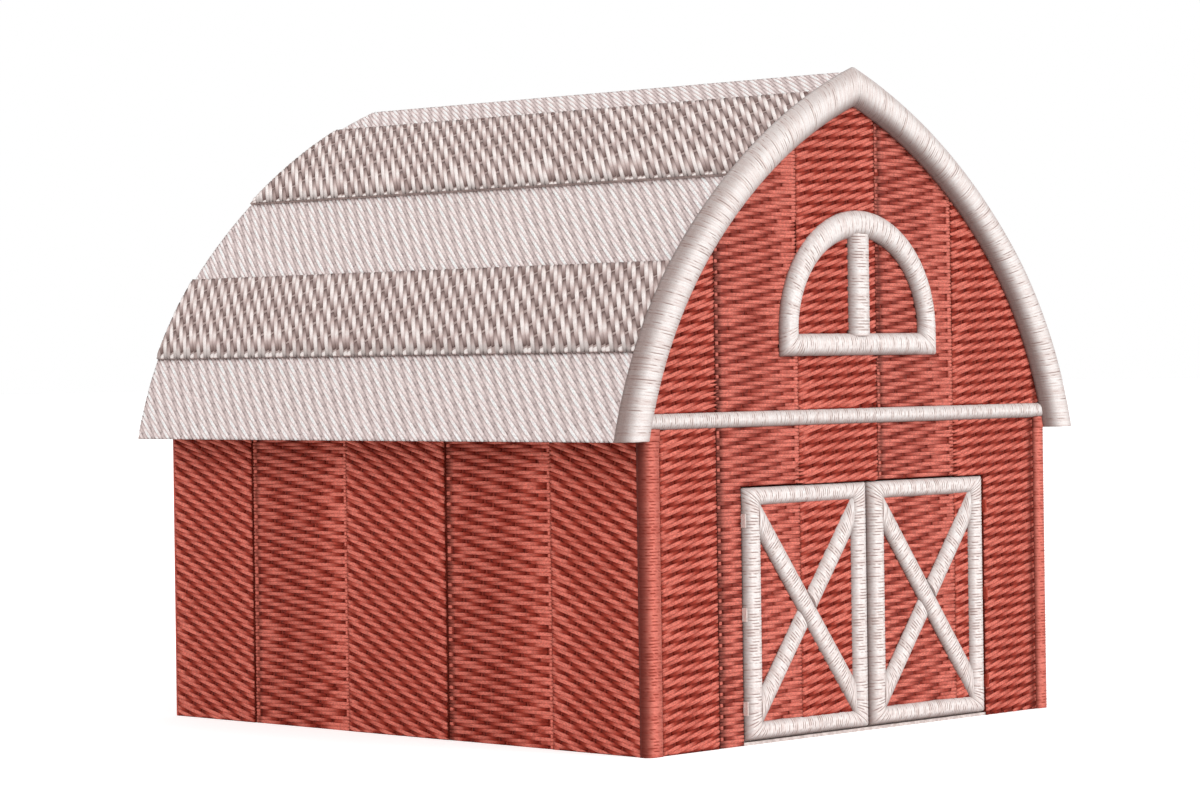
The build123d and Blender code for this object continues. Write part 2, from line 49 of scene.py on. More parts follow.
def node_adder(tree):
    """A function that adds a node to the tree, feeds its sockets and returns its outputs."""

    def add(kind, feeds, **settings):
        node = tree.nodes.new("ShaderNode" + kind)
        for key, value in settings.items():
            setattr(node, key, value)
        for socket, value in feeds.items():
            if isinstance(value, bpy.types.NodeSocket):
                tree.links.new(value, node.inputs[socket])
            else:
                node.inputs[socket].default_value = value
        return node.outputs

    return add


def new_finish(name, roughness):
    """A material, the function that adds its nodes, and one that feeds its shader."""
    material = bpy.data.materials.new(name)
    material.use_nodes = True
    tree = material.node_tree
    shader = tree.nodes["Principled BSDF"]
    shader.inputs["Roughness"].default_value = roughness
    shader.inputs["Specular IOR Level"].default_value = 0.08

    def feed(socket, value):
        tree.links.new(value, shader.inputs[socket])

    return material, node_adder(tree), feed


def blend_of(add, factor, under, over, mode="MIX"):
    """Colour from under to over as the factor goes from 0 to 1."""
    return add("Mix", {0: factor, 6: under, 7: over}, data_type="RGBA", blend_type=mode)[2]


def between(add, value, low, high):
    """0 where the value is under low, 1 over high, and a smooth step between."""
    return add("MapRange", {0: value, 1: low, 2: high}, interpolation_type="SMOOTHSTEP")[0]


def noise(add, place, scale, detail, ragged=0.5):
    """Blotches, scale of them a metre. Three scales, one for each axis, draw them out."""
    if np.ndim(scale):
        place, scale = add("Mapping", {"Vector": place, "Scale": scale})[0], 1.0
    return add("TexNoise", {"Vector": place, "Scale": scale, "Detail": detail, "Roughness": ragged})[0]


def roughen(add, feed, height, strength, depth):
    """Relief too fine to be shaped, as deep as the height says."""
    feed("Normal", add("Bump", {"Strength": strength, "Distance": depth, "Height": height})[0])


def sawn_timber(name, grain):
    """Brown timber whose colour and relief follow a noise drawn out along the grain."""
    pale, dark = tint(164, 128, 92), tint(98, 70, 48)
    material, add, feed = new_finish(name, 0.8)
    place = add("TexCoord", {})["Object"]
    streaks = noise(add, place, grain, 6.0, 0.65)
    patches = noise(add, place, 1.3, 2.0)
    colour = blend_of(add, between(add, streaks, 0.35, 0.68), dark, pale)
    feed("Base Color", blend_of(add, between(add, patches, 0.4, 0.7), colour, dark))
    roughen(add, feed, streaks, 0.5, 0.004)
    return material


def coat(material, *names):
    """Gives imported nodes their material."""
    for name in names:
        mesh = nodes[name].data
        mesh.materials.clear()
        mesh.materials.append(material)


fine, drawn_out = 34, 2.2
upright_timber = sawn_timber("upright_timber", (fine, fine, drawn_out))
cross_timber = sawn_timber("cross_timber", (drawn_out, fine, fine))
long_timber = sawn_timber("long_timber", (fine, drawn_out, fine))
coat(upright_timber, "wall_posts", "front_corner_studs", "gable_studs", "roof_ribs")
coat(cross_timber, "loft_joists", "door_head", "hatch_ledges")
coat(long_timber, "sill_beams", "wall_rails", "wall_plates", "ridge_beam")

# ------------------------ floors
# Planed boards nailed across the joists of the loft, and laid on the ground between the sills.
# The boards run along the barn and are 140 mm wide with open joints.

floor_board = 0.14


def work(add, operation, *numbers):
    """One step of arithmetic."""
    return add("Math", dict(enumerate(numbers)), operation=operation)[0]


def side_by_side(add, across, board, joint):
    """Boards side by side: the place counted in boards, and how far it is inside a joint.

    joint holds where a joint begins and where it is full, in boards from the middle of one.
    """
    boards = work(add, "DIVIDE", across, board)
    from_middle = work(add, "ABSOLUTE", work(add, "SUBTRACT", work(add, "FRACT", boards), 0.5))
    return boards, between(add, from_middle, *joint)


floor_boards, add, feed = new_finish("floor_boards", 0.7)
place = add("TexCoord", {})["Object"]
boards, joint = side_by_side(add, add("SeparateXYZ", {0: place})[0], floor_board, (0.46, 0.49))
own_shade = add("TexWhiteNoise", {"W": work(add, "FLOOR", boards)}, noise_dimensions="1D")[0]
grain = noise(add, place, (40, 2.5, 40), 5.0)
colour = blend_of(add, grain, tint(128, 96, 66), tint(186, 154, 116))
colour = blend_of(add, work(add, "MULTIPLY", own_shade, 0.45), colour, tint(128, 96, 66))
feed("Base Color", blend_of(add, joint, colour, tint(40, 28, 20)))
roughen(add, feed, work(add, "SUBTRACT", grain, joint), 0.6, 0.004)
coat(floor_boards, "ground_floor", "loft_deck", "eave_soffits")

# ------------------------ wall boarding
# Rough upright boards 190 mm wide nailed to the posts, painted dark red, in bays between upright
# joints. Every second bay is set back a little, with a wide joint on one side.

wall_board = 0.19

boarding, add, feed = new_finish("boarding", 0.75)
place = add("TexCoord", {})["Object"]
axes = add("SeparateXYZ", {0: place})
joint = side_by_side(add, work(add, "ADD", axes[0], axes[1]), wall_board, (0.47, 0.49))[1]
grain = noise(add, place, (14, 14, 1.6), 6.0, 0.7)
painted = blend_of(add, between(add, grain, 0.35, 0.7), tint(112, 36, 27), tint(146, 56, 43))
feed("Base Color", blend_of(add, joint, painted, tint(52, 16, 12)))
roughen(add, feed, grain, 0.5, 0.003)
coat(boarding, "side_wall_cladding", "front_lower_cladding", "front_upper_cladding", "back_wall_cladding")
coat(boarding, "hatch_boards", "left_door_core", "right_door_core", "left_door_boards", "right_door_boards")

# ------------------------ side wall laths
# Split laths, rounded on the face and thinned at both ends, nailed over the boarding in close rows
# whose joints are staggered, sloping in one bay and level in the next. Painted barn red, with painted
# shade in the recesses at the ends.

wall_half, wall_length_half = 3.1, 3.5
eave = 3.0
ground_gap = 0.004
corner_back = -3.41
plank_face, level_face = 0.0, -0.012
joint_wide = 0.02
side_joints = (-2.23, -0.75, 0.73, 2.21)
lath_rise = 0.012
lath_lap = 1.15
shortest_lath, sliver = 0.05, 0.01
stub_pitches, most_stub_pitches = 1.6, 2.2
out_of_reach = 9.0
stations, strips = 7, 5


def scatter(number, salt=0.0):
    """A steady value from 0 to 1 for each whole number: the fraction of a large multiple of a sine."""
    return np.modf(np.abs(np.sin(number * 12.9898 + salt * 78.233 + 0.5)) * 43758.5453)[0]


def rows_of(*columns):
    """Columns of numbers, spread to one shape, as the rows of a table."""
    return np.stack(np.broadcast_arrays(*columns), axis=-1).reshape(-1, len(columns))


def planes_of(corners):
    """Sides of a convex shape given anticlockwise, each as a point on it and its inward normal."""
    corners = np.asarray(corners, float)
    step = np.roll(corners, -1, axis=0) - corners
    inward = np.stack((-step[:, 1], step[:, 0]), axis=1)
    return np.hstack((corners, inward / np.linalg.norm(inward, axis=1, keepdims=True)))


lower_side, right_side, upper_side, left_side = range(4)


def rectangle(a0, a1, b0, b1):
    """Planes of a rectangle: its lower side, right side, upper side and left side."""
    return planes_of(((a0, b0), (a1, b0), (a1, b1), (a0, b1)))


def bay_limits(start, joints, end, wide_first):
    """Start, end, whether it is level, and the number of its tight side, of each bay along a wall.

    wide_first is 1 if a level bay's wide joint is at its start. The sides are numbered as a rectangle's are.
    """
    edges = [start, *joints, end]
    limits = []
    for n, (a, b) in enumerate(zip(edges, edges[1:])):
        wide_at_start = (n % 2) == wide_first
        gap_a = joint_wide / 2 if n > 0 and wide_at_start else 0
        gap_b = joint_wide / 2 if n < len(edges) - 2 and not wide_at_start else 0
        limits.append((a + gap_a, b - gap_b, n % 2 == 1, right_side if wide_at_start else left_side))
    return limits


def cut_rows(planes, angle, centres):
    """Start and end of each row in a convex shape, and the skew and number of the side that cuts it there.

    A row is the line centre * across + t * along. A side with point p and normal n keeps
    t * (along . n) >= p . n - centre * (across . n).
    """
    steepest = 5.0
    along = np.array((np.cos(angle), np.sin(angle)))
    across = np.array((-along[1], along[0]))
    lean = planes[:, 2:] @ along + 1e-9
    spread = planes[:, 2:] @ across
    reach = (planes[:, :2] * planes[:, 2:]).sum(axis=1)
    crossing = (reach[None] - centres[:, None] * spread[None]) / lean[None]
    low = np.where(lean > 0, crossing, -np.inf)
    high = np.where(lean < 0, crossing, np.inf)
    skew = np.clip(-spread / lean, -steepest, steepest)
    first, last = low.argmax(axis=1), high.argmin(axis=1)
    return low.max(axis=1), high.min(axis=1), skew[first], skew[last], first, last


def row_runs(planes, hole, angle, centres):
    """The rows in a bay as cut_rows gives them. Round a hole they come as two sets, before and after it."""
    whole = cut_rows(planes, angle, centres)
    if hole is None:
        return [whole]
    low, high, skew_low, skew_high, side_low, side_high = whole
    hole_low, hole_high, hole_skew_low, hole_skew_high, _, _ = cut_rows(hole, angle, centres)
    met = hole_high > hole_low
    before = np.where(met, np.minimum(hole_low, high), high)
    after = np.where(met, np.maximum(hole_high, low), np.inf)
    skew_before = np.where(met, hole_skew_low, skew_high)
    no_side = np.full(len(centres), -1)
    return [
        (low, before, skew_low, skew_before, side_low, np.where(met, no_side, side_high)),
        (after, high, hole_skew_high, skew_high, no_side, side_high),
    ]


def row_joints(row, start, end, stub_start, stub_end, length, pitch, stagger, jitter):
    """The joints of each row as they would come, and as they are made.

    Row n is joined at (k + n * stagger) * length, give or take the jitter. A piece shorter than the shortest
    goes to its neighbour, but at an end that is to have a stub the next joint is one stub's length away.
    """
    stub = stub_pitches * pitch
    reach = np.abs(stagger) * length
    shift = row * stagger + jitter * scatter(row)
    count = int(np.ceil((end - start).max() / length)) + 3
    number = np.floor(start / length - shift) + np.arange(count)[None]
    joint = (number + shift + jitter * (scatter(row + 31.0 * number) - 0.5)) * length
    joint = np.where(stub_start & (joint > start) & (joint < start + reach), start + stub, joint)
    joint = np.where(stub_end & (joint < end) & (joint > end - reach), end - stub, joint)
    near_start = np.where(stub_start, 0.0, shortest_lath)
    near_end = np.where(stub_end, 0.0, shortest_lath)
    made = np.where(joint < start + near_start, start, np.where(joint > end - near_end, end, joint))
    return joint, made


def lath_rows(
    planes, angle, length, pitch, stagger, base, jitter=0.04, pale=0.0, ease=0.0,
    tight=None, stubs=(), hole=None,
):
    """A row of numbers for each lath of a bay: centre, start, end, skews, angle, pitch, base, edge marks,
    cuts, how much lighter its ends are, and key.

    The sides numbered in stubs have a stub in each row. An edge mark is 2 on the tight side, otherwise 1.
    A cut is how far the edge lies from the joint that would come next, or out of reach on the sides with
    stubs. The ends are lighter, with less painted shade, by pale, and by ease more towards the tight side.
    """
    ease_run = 0.5
    angle = np.radians(angle)
    along = np.array((np.cos(angle), np.sin(angle)))
    across = np.array((-along[1], along[0]))
    levels = planes[:, :2] @ across
    numbers = np.arange(np.floor(levels.min() / pitch) - 1, np.ceil(levels.max() / pitch) + 1)
    centres = (numbers + 0.5) * pitch
    laths = []
    for start, end, *rest in row_runs(planes, hole, angle, centres):
        some = end - start > shortest_lath
        if not some.any():
            continue
        start, end, skew_start, skew_end, side_start, side_end = (v[some, None] for v in (start, end, *rest))
        row, centre = numbers[some, None], centres[some, None]
        stub_start, stub_end = (np.isin(side, stubs) for side in (side_start, side_end))
        joint, made = row_joints(row, start, end, stub_start, stub_end, length, pitch, stagger, jitter)
        cut = np.abs(joint - made)
        a, b = made[:, :-1], made[:, 1:]
        edge_a = (a <= start) * np.where(side_start == tight, 2.0, 1.0)
        edge_b = (b >= end) * np.where(side_end == tight, 2.0, 1.0)
        lighter = pale
        if tight is not None and ease:
            point, inward = planes[tight, :2], planes[tight, 2:]
            gone = (a + b) / 2 * (inward @ along) + centre * (inward @ across) - point @ inward
            lighter = pale + ease * np.clip(1 - gone / ease_run, 0, 1)
        skew_a, skew_b = np.where(edge_a > 0, skew_start, 0.0), np.where(edge_b > 0, skew_end, 0.0)
        cut_a = np.where(stub_start & (a <= start), out_of_reach, cut[:, :-1])
        cut_b = np.where(stub_end & (b >= end), out_of_reach, cut[:, 1:])
        key = row + 97.0 * np.arange(a.shape[1])
        shape = (centre, a, b, skew_a, skew_b, angle, pitch, base)
        rows = rows_of(*shape, edge_a, edge_b, cut_a, cut_b, lighter, key)
        laths.append(rows[(b - a > sliver).ravel()])
    return np.concatenate(laths)


def mesh_piece(name, points, polygons, smooth, tone_and_painted_light, grain, material):
    """A piece from arrays. Its faces are turned outwards if its signed volume comes out negative."""
    volume = 0.0
    for faces in polygons:
        first = points[faces[:, 0]]
        for k in range(1, faces.shape[1] - 1):
            volume += (first * np.cross(points[faces[:, k]], points[faces[:, k + 1]])).sum()
    if volume < 0:
        polygons = [faces[:, ::-1] for faces in polygons]
    corners = np.concatenate([faces.ravel() for faces in polygons]).astype(np.int32)
    sizes = np.concatenate([np.full(len(faces), faces.shape[1]) for faces in polygons])
    rounded = np.concatenate([np.full(len(faces), flag) for faces, flag in zip(polygons, smooth)])
    mesh = bpy.data.meshes.new(name)
    mesh.vertices.add(len(points))
    mesh.vertices.foreach_set("co", points.astype(np.float32).ravel())
    mesh.loops.add(len(corners))
    mesh.loops.foreach_set("vertex_index", corners)
    mesh.polygons.add(len(sizes))
    mesh.polygons.foreach_set("loop_start", (np.cumsum(sizes) - sizes).astype(np.int32))
    mesh.polygons.foreach_set("use_smooth", rounded)
    mesh.update(calc_edges=True)
    stored = mesh.attributes.new("tone_and_painted_light", "FLOAT_COLOR", "POINT")
    stored.data.foreach_set("color", tone_and_painted_light.astype(np.float32).ravel())
    mesh.uv_layers.new(name="grain").data.foreach_set("uv", grain[corners].astype(np.float32).ravel())
    mesh.materials.append(material)
    mesh.validate()
    piece = bpy.data.objects.new(name, mesh)
    bpy.context.scene.collection.objects.link(piece)
    return piece


def shell_faces(count):
    """Faces of so many laths: quads over the stations and strips of each, and its flat back."""
    number = np.arange(stations * strips).reshape(stations, strips)
    quads = np.stack((number[:-1, :-1], number[1:, :-1], number[1:, 1:], number[:-1, 1:]), axis=-1)
    rim = np.concatenate((number[0, :-1], number[:-1, -1], number[-1, :0:-1], number[:0:-1, 0]))
    offset = (np.arange(count) * number.size)[:, None, None]
    faces = (quads.reshape(1, -1, 4) + offset).reshape(-1, 4)
    return faces, (rim[None, None] + offset).reshape(-1, len(rim))


def both_ends(*half):
    """Values at the stations of a lath, from one end to the middle and back."""
    return np.array((*half, *half[-2::-1]))[:, None]


free_end, bay_end = both_ends(0, 0.35, 0.85, 1), both_ends(0.75, 0.85, 0.95, 1)
tight_end, tight_lift = both_ends(0.4, 0.6, 0.85, 1), both_ends(0.65, 0.6, 0.4, 0)
# lath_taper narrows the laths' ends, and stub_relief paints a highlight along the short stubs, all but their
# tips.
lath_taper, stub_relief = both_ends(0.92, 0.97, 1, 1), both_ends(0.3, 0.7, 1, 1)
lean_share = np.array((1, 0.8, 0.4, 0, 0, 0, 0))[:, None]
strip_place, strip_height = np.array((-0.5, -0.36, 0, 0.36, 0.5)), np.array((0, 0.88, 1, 0.88, 0))


def joint_shade(a, wide):
    """Painted shade beside wide joints, each (place, side, far shade): deepest close by, the far shade over
    most of the bay.

    Near the joint it is strongest - distance / near_fade, at most deepest. Further off it is the far shade,
    and fades out over far_fade, to nothing at the distance bay.
    """
    strongest, deepest, near_fade, bay, far_fade = 1.3, 0.85, 0.1, 1.25, 0.5
    shade = np.zeros_like(a)
    for joint, way, far_shade in wide:
        gone = way * (a - joint)
        near = np.clip(strongest - gone / near_fade, 0, deepest)
        far = far_shade * np.clip((bay - gone) / far_fade, 0, 1)
        shade = np.maximum(shade, np.where(gone > 0, np.maximum(near, far), 0))
    return shade


def lath_piece(
    name, laths, rise, place, material, wide=(), toe=0.05, dip=0.12,
    ends=(0.0, 0.0), across=(0.82, 0.95), foot=None, level_sheen=0.0,
):
    """Joined laths, each a closed shell on a grid of 7 stations by 5 strips.

    Height over the boarding is rise * the height along the lath * the height across it, and the rim is sunk
    a little. An end thins out over toe and dip, two lengths. At the edge of its bay it stays high, and at a
    tight joint both bays' ends come to one level. The paint relief is painted light, from painted shade in
    the recesses to a painted highlight on the back, and grows with the distance from the nearest joint,
    whether or not an edge cuts it off. Beside the wide joints all but the stubs carry painted shade, and so
    do laths just above foot, a level. ends are the least height and paint relief at the ends, and across is
    the paint relief in the valleys and beside them, where the painted shade lies. The last argument is how
    far the level bays' paint is lightened, a painted sheen.
    """
    toe_share, dip_share = 0.15, 0.32
    rim_sunk, foot_dark, foot_high, stub_share = 0.12, 0.8, 0.16, 0.2
    numbers = laths.T[:, :, None, None]
    centre, start, end, skew_start, skew_end, angle, pitch, base, *marks, lighter, key = numbers
    edge_start, edge_end, cut_start, cut_end = marks
    whole = end - start
    toe_run, dip_run = np.minimum(toe_share * whole, toe), np.minimum(dip_share * whole, dip)
    station = np.arange(stations)[:, None]
    middle = stations // 2
    stops = [start, start + toe_run, start + dip_run, (start + end) / 2, end - dip_run, end - toe_run, end]
    run = np.choose(station, stops)
    edge = np.where(station < middle, edge_start, edge_end) * (station != middle)
    at_edge, at_tight = edge > 0, edge > 1
    set_back = base < 0

    height_along = np.maximum(np.where(at_edge, bay_end, free_end), ends[0])
    height_along = np.where(at_tight & ~set_back, tight_end, height_along)
    raised = height_along * strip_height
    lift = np.where(at_tight & set_back, tight_lift, 0) * -base
    own_height = 0.88 + 0.24 * scatter(key, 1.0)
    height = base + lift + rise * (raised * own_height - rim_sunk * (raised == 0))

    steepest = 0.9 * whole / (pitch * lath_lap)
    lean = np.clip(skew_start, -steepest, steepest) * lean_share
    lean = lean + np.clip(skew_end, -steepest, steepest) * lean_share[::-1]
    own_width = 0.97 + 0.06 * scatter(key, 3.0)
    side = strip_place * pitch * lath_lap * lath_taper * own_width
    from_joint = np.minimum(run - start + cut_start, end - run + cut_end)
    run = run + side * lean
    a = run * np.cos(angle) - (centre + side) * np.sin(angle)
    b = run * np.sin(angle) + (centre + side) * np.cos(angle)

    stub = (whole < most_stub_pitches * pitch) & (cut_start + cut_end > 1)
    relief = np.interp(from_joint, (0, toe, dip, 1.65 * dip), (0, 0.12, 0.5, 1))
    relief = np.maximum(relief, ends[1] + lighter)
    relief = np.where(stub, stub_relief, relief)
    relief = np.where(at_tight, np.maximum(relief, 0.5), relief)
    relief = relief * np.array((*across, 1, *across[::-1]))
    shade = joint_shade(a, wide)
    if foot is not None:
        shade = np.maximum(shade, foot_dark * np.clip(1 - (b - foot) / foot_high, 0, 1))
    shade = shade * np.where(stub, stub_share, 1)
    # Painted highlight and shade, the piece's own tone, painted shade beside joints and above the foot, and
    # painted sheen.
    tone_and_painted_light = rows_of(relief, scatter(key, 2.0), shade, level_sheen * set_back)
    points, grain = rows_of(*place(a, b, height)), rows_of(run, side + key * 0.37)
    return mesh_piece(name, points, shell_faces(len(laths)), (True, False), tone_and_painted_light, grain, material)


def ramp(add, value, low, high, least=0.0):
    """From least to 1 as the value goes from low to high."""
    return add("MapRange", {0: value, 1: low, 2: high, 3: least})[0]


def painted_relief(name, raised, middle, sunk, shaded, roughness=0.5, grain_depth=0.35, speckle_depth=0.3):
    """Paint on rounded pieces, with painted light in it: sunk is painted shade in the recesses, middle goes
    on the slopes, raised is a painted highlight on the backs, and shaded is painted shade.

    The attribute read here holds how raised the surface is, its piece's tone, how much painted shade it has
    and how much painted sheen.
    """
    # A pale tint, laid over the level bays as a painted sheen.
    sheen_tint = tint(240, 226, 218)
    material, add, feed = new_finish(name, roughness)
    stored = add("Attribute", {}, attribute_name="tone_and_painted_light")
    relief, tone, shade = add("SeparateColor", {0: stored["Color"]})
    # Painted shade in the recesses, rising through the middle colour to a painted highlight on the backs.
    colour = blend_of(add, ramp(add, relief, 0.0, 0.5), sunk, middle)
    lift = work(add, "ADD", ramp(add, relief, 0.45, 1.0), work(add, "MULTIPLY", tone, 0.3))
    lift = work(add, "MULTIPLY", lift, ramp(add, relief, 0.4, 0.6))
    colour = blend_of(add, lift, colour, raised)
    # Painted shade where the shade channel says, then the painted sheen.
    colour = blend_of(add, shade, colour, shaded)
    colour = blend_of(add, stored["Alpha"], colour, sheen_tint)
    place = add("UVMap", {}, uv_map="grain")[0]
    streaks = noise(add, place, (7, 120, 1), 4.0, 0.6)
    speckle = noise(add, place, (34, 62, 1), 1.0)
    grime = ramp(add, between(add, streaks, 0.3, 0.55), 0.0, 1.0, 1 - grain_depth)
    grime = work(add, "MULTIPLY", grime, ramp(add, speckle, 0.36, 0.62, 1 - speckle_depth))
    grime = add("CombineColor", {0: grime, 1: grime, 2: grime})[0]
    feed("Base Color", blend_of(add, 1.0, colour, grime, "MULTIPLY"))
    roughen(add, feed, streaks, 0.35, 0.002)
    return material


# Painted highlight, middle colour, painted shade in the recesses, and painted shade beside joints.
lath_tints = tint(239, 130, 113), tint(174, 64, 48), tint(117, 24, 9), tint(104, 27, 14)
red_laths = painted_relief("red_laths", *lath_tints)
upright_sides = (left_side, right_side)
side_slant = dict(angle=14.2, length=0.54, pitch=0.0392, stagger=0.303, base=plank_face)
side_level = dict(
    angle=0.0, length=0.55, pitch=0.0366, stagger=0.317, jitter=0.16, ease=0.7,
    base=level_face, stubs=upright_sides,
)
side_laths = []
for low, high, level, tight in bay_limits(corner_back, side_joints, wall_length_half, 0):
    pattern = side_level if level else side_slant
    side_laths.append(lath_rows(rectangle(low, high, ground_gap, eave), tight=tight, **pattern))
# Painted shade over most of each side wall's level bay, beside its wide joint.
side_far_shade = 0.16
side_wide = [(joint - joint_wide / 2, -1, side_far_shade) for joint in side_joints[1::2]]
for name, way in (("left_wall_laths", -1), ("right_wall_laths", 1)):

    def on_side(a, b, h):
        return way * (wall_half + h), np.clip(a, corner_back, wall_length_half), np.maximum(b, 0)

    piece = lath_piece(name, np.concatenate(side_laths), lath_rise, on_side, red_laths, side_wide)
    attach(piece, "building")

# ------------------------ gable laths
# The gables carry the same laths in slopes of their own, below and above the belt, up to the barge
# boards and round the doors and the loft hatch.

front_joints = (-2.1, -0.88, 0.34, 1.56)
post_face = 2.905
belt_low, belt_high, belt_lap = 3.105, 3.26, 0.005
gable_top = 6.6
rim_shade_from = 2.9
foot_slope, shoulder_slope, crown_slope = np.radians((77, 48, 21))


def pointed_arch(half_span, foot, crown):
    """Centres and radii of the arcs below and above the shoulder, as (x, z, radius).

    centre + radius * (sin t, cos t) passes through the foot at its slope and the crown at its own, and the
    arcs meet at the shoulder's slope.
    """
    end_slopes = (foot_slope, shoulder_slope, crown_slope)
    sines, cosines = np.sin(end_slopes), np.cos(end_slopes)
    across = np.array((sines[0] - sines[1], sines[1] - sines[2]))
    up = np.array((cosines[1] - cosines[0], cosines[2] - cosines[1]))
    low, high = np.linalg.solve(np.stack((across, up)), (half_span, crown - foot))
    return (
        (half_span - low * sines[0], foot - low * cosines[0], low),
        (-high * sines[2], crown - high * cosines[2], high),
    )


def arch_point(arch, slope, inset=0.0):
    """Distance from the middle and height of the arch where it has that slope."""
    low, high = arch
    below = slope > shoulder_slope
    radius = np.where(below, low[2], high[2]) - inset
    return (
        np.where(below, low[0], high[0]) + radius * np.sin(slope),
        np.where(below, low[1], high[1]) + radius * np.cos(slope),
    )


roof_arch = pointed_arch(3.54, eave, 6.7)
inner_arch = pointed_arch(3.08, eave, 6.3)
under_barge = 0.04
arch_x, arch_z = arch_point(inner_arch, np.linspace(foot_slope, crown_slope, 22), -under_barge)
gable_line = np.stack((np.append(arch_x, -arch_x[::-1]), np.append(arch_z, arch_z[::-1])), axis=1)
gable_planes = planes_of(gable_line)

hatch_x, hatch_spring, hatch_foot, hatchway_radius = 0.06, 4.04, 3.9025, 1.1
door_left, door_right, door_top = -1.746, 2.046, 2.521
below_ground = -1


def half_round(radius, foot):
    """Planes of an opening: a half circle on the hatch's centre, then straight down to the foot."""
    turn = np.linspace(0, np.pi, 25)
    curve = np.stack((hatch_x + radius * np.cos(turn), hatch_spring + radius * np.sin(turn)), axis=1)
    return planes_of(np.vstack((curve, ((hatch_x - radius, foot), (hatch_x + radius, foot)))))


hatchway = half_round(hatchway_radius, hatch_foot)
doorway = rectangle(door_left, door_right, below_ground, door_top)

front_slant = dict(angle=13.8, length=0.575, pitch=0.0384, stagger=-0.348, base=plank_face)
front_level = dict(
    angle=0.0, length=0.59, pitch=0.0362, stagger=0.319, jitter=0.16, pale=0.22, ease=0.6,
    base=level_face, stubs=upright_sides,
)
front_bays = bay_limits(-wall_half, front_joints, wall_half, 1)
# Painted shade over the front's level bays beside their wide joints, and a painted sheen on them.
front_far_shade, front_level_sheen = 0.07, 0.025
front_wide = [(joint + joint_wide / 2, 1, front_far_shade) for joint in front_joints[::2]]


def gable_rows(planes, level, tight, **hole):
    """Laths of one bay of a gable."""
    return lath_rows(planes, tight=tight, **(front_level if level else front_slant), **hole)


lower, upper, back = [], [], []
for low, high, *kind in front_bays:
    below_belt = rectangle(max(low, -post_face), min(high, post_face), ground_gap, belt_low + belt_lap)
    above_belt = np.vstack((rectangle(low, high, belt_high - belt_lap, gable_top), gable_planes))
    lower.append(gable_rows(below_belt, *kind, hole=doorway))
    upper.append(gable_rows(above_belt, *kind, hole=hatchway))
    back += [gable_rows(below_belt, *kind), gable_rows(above_belt, *kind)]
# Painted shade beside the wide joints, and on the front beside the right corner post and the right barge
# board.
for name, rows, way, wide in (
    ("front_wall_laths", lower, -1, [*front_wide, (post_face, -1, 0)]),
    ("front_gable_laths", upper, -1, [*front_wide, (rim_shade_from, 1, 0)]),
    ("back_wall_laths", back, 1, front_wide),
):

    def on_gable(a, b, h):
        return a, way * (wall_length_half + h), np.maximum(b, 0)

    laths = np.concatenate(rows)
    piece = lath_piece(name, laths, lath_rise, on_gable, red_laths, wide, level_sheen=front_level_sheen)
    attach(piece, "building")

# ------------------------ roof
# Five courses a side of split strips, nailed to boards over the bowed rafters. The first, third and
# fifth are pale and fine; the second and fourth are thicker and greyer, steeper, with open joints.

course_levels = (eave, 3.85, 4.70, 5.55, 6.40)
plain_inset, deep_inset = 0.045, 0.015
pale_rise, grey_rise, grey_hang = 0.008, 0.014, 0.012
roof_front, roof_back = -3.515, 3.63


def slope_at(arch, height, inset):
    """Slope where the arch crosses a level."""
    low, high = arch
    slope = np.arccos((height - high[1]) / (high[2] - inset))
    if slope > shoulder_slope:
        slope = np.arccos((height - low[1]) / (low[2] - inset))
    return slope


def along_arch(arch, slope, inset):
    """Length of the curve from the foot's slope up to a slope."""
    low, high = arch
    lower_run = (low[2] - inset) * (foot_slope - np.maximum(slope, shoulder_slope))
    return lower_run + (high[2] - inset) * np.maximum(shoulder_slope - slope, 0)


def slope_along(arch, run, inset):
    """The slope at a length along the curve: the other way round."""
    low, high = arch
    shoulder = (low[2] - inset) * (foot_slope - shoulder_slope)
    return np.where(
        run < shoulder,
        foot_slope - run / (low[2] - inset),
        shoulder_slope - (run - shoulder) / (high[2] - inset),
    )


def mottled(name, roughness, dark, pale, scale, detail, ragged=0.5):
    """A plain finish whose colour wavers from dark to pale."""
    material, add, feed = new_finish(name, roughness)
    blotches = noise(add, add("TexCoord", {})["Object"], scale, detail, ragged)
    feed("Base Color", blend_of(add, between(add, blotches, 0.35, 0.7), dark, pale))
    return material


# Each: painted highlight, middle colour, painted shade in the recesses, and painted shade.
pale_tints = tint(255, 255, 254), tint(255, 238, 235), tint(180, 158, 155), tint(172, 150, 146)
grey_tints = tint(255, 245, 241), tint(212, 190, 185), tint(126, 102, 97), tint(120, 98, 93)
pale_strips = painted_relief("pale_strips", *pale_tints, roughness=0.6, grain_depth=0.08, speckle_depth=0.22)
grey_strips = painted_relief("grey_strips", *grey_tints, roughness=0.6, grain_depth=0.05, speckle_depth=0.1)
roof_boarding = mottled("roof_boarding", 0.8, tint(170, 150, 145), tint(190, 170, 165), 9.0, 6.0, 0.7)
courses = (
    dict(angle=41.0, length=0.50, pitch=0.041, stagger=0.295),
    dict(angle=59.5, length=0.51, pitch=0.048, stagger=-0.373, jitter=0.08),
    dict(angle=38.5, length=0.78, pitch=0.037, stagger=0.32),
    dict(angle=46.5, length=1.0, pitch=0.041, stagger=-0.355, jitter=0.08),
    dict(angle=37.0, length=0.8, pitch=0.038, stagger=0.32),
)
